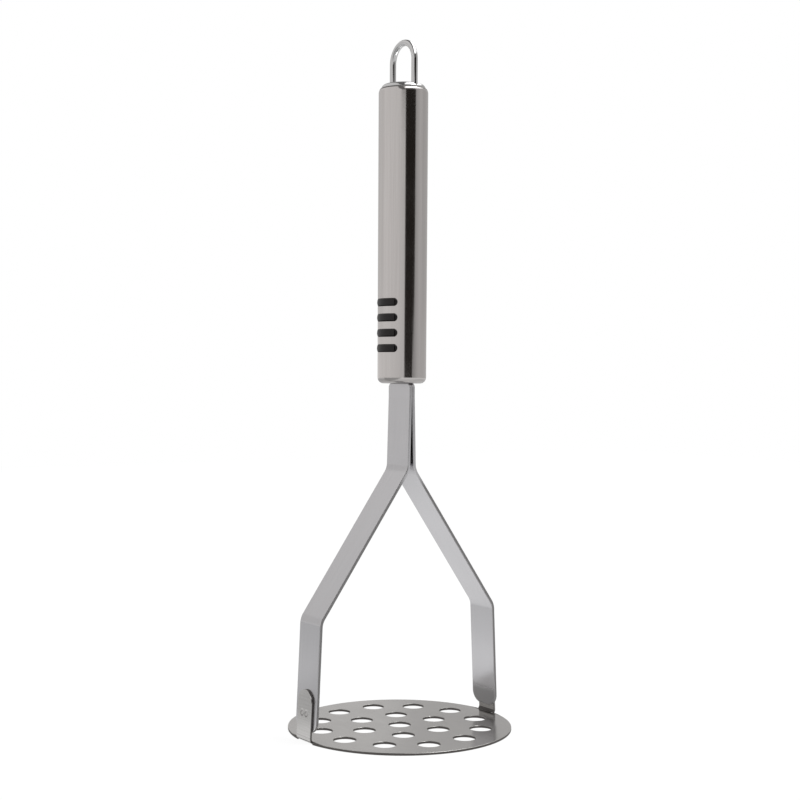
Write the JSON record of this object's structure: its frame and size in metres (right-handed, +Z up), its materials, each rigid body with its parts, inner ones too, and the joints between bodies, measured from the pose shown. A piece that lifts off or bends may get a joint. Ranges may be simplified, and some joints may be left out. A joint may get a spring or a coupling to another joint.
{
  "type": "potato masher",
  "caption": "Hand masher: steel handle with rubber grip pads and a wire hanging loop, a wishbone frame of bent strips and a perforated round disc for mashing cooked food.",
  "frame": {"origin": "middle of the mashing disc's underside, the face that the masher stands on", "axes": "+Z up along the handle's axis, X through both feet of the frame, the grip pads face -X"},
  "size_m": [0.086, 0.085, 0.261],
  "materials": {
    "disc_steel": "satin",
    "strip_steel": "satin",
    "handle_steel": "smooth polished",
    "polished_steel": "mirror polished",
    "pad_rubber": "matte moulded",
    "core_plastic": "matte"
  },
  "bodies": {
    "root": {"mashing_disc": "disc_steel", "frame_strip_right": "strip_steel", "frame_strip_left": "strip_steel", "handle_tube": "handle_steel", "tang_block": "core_plastic", "end_cap": "polished_steel", "hanging_loop": "polished_steel", "grip_pad_1": "pad_rubber", "grip_pad_2": "pad_rubber", "grip_pad_3": "pad_rubber", "grip_pad_4": "pad_rubber"}
  },
  "joints": []
}
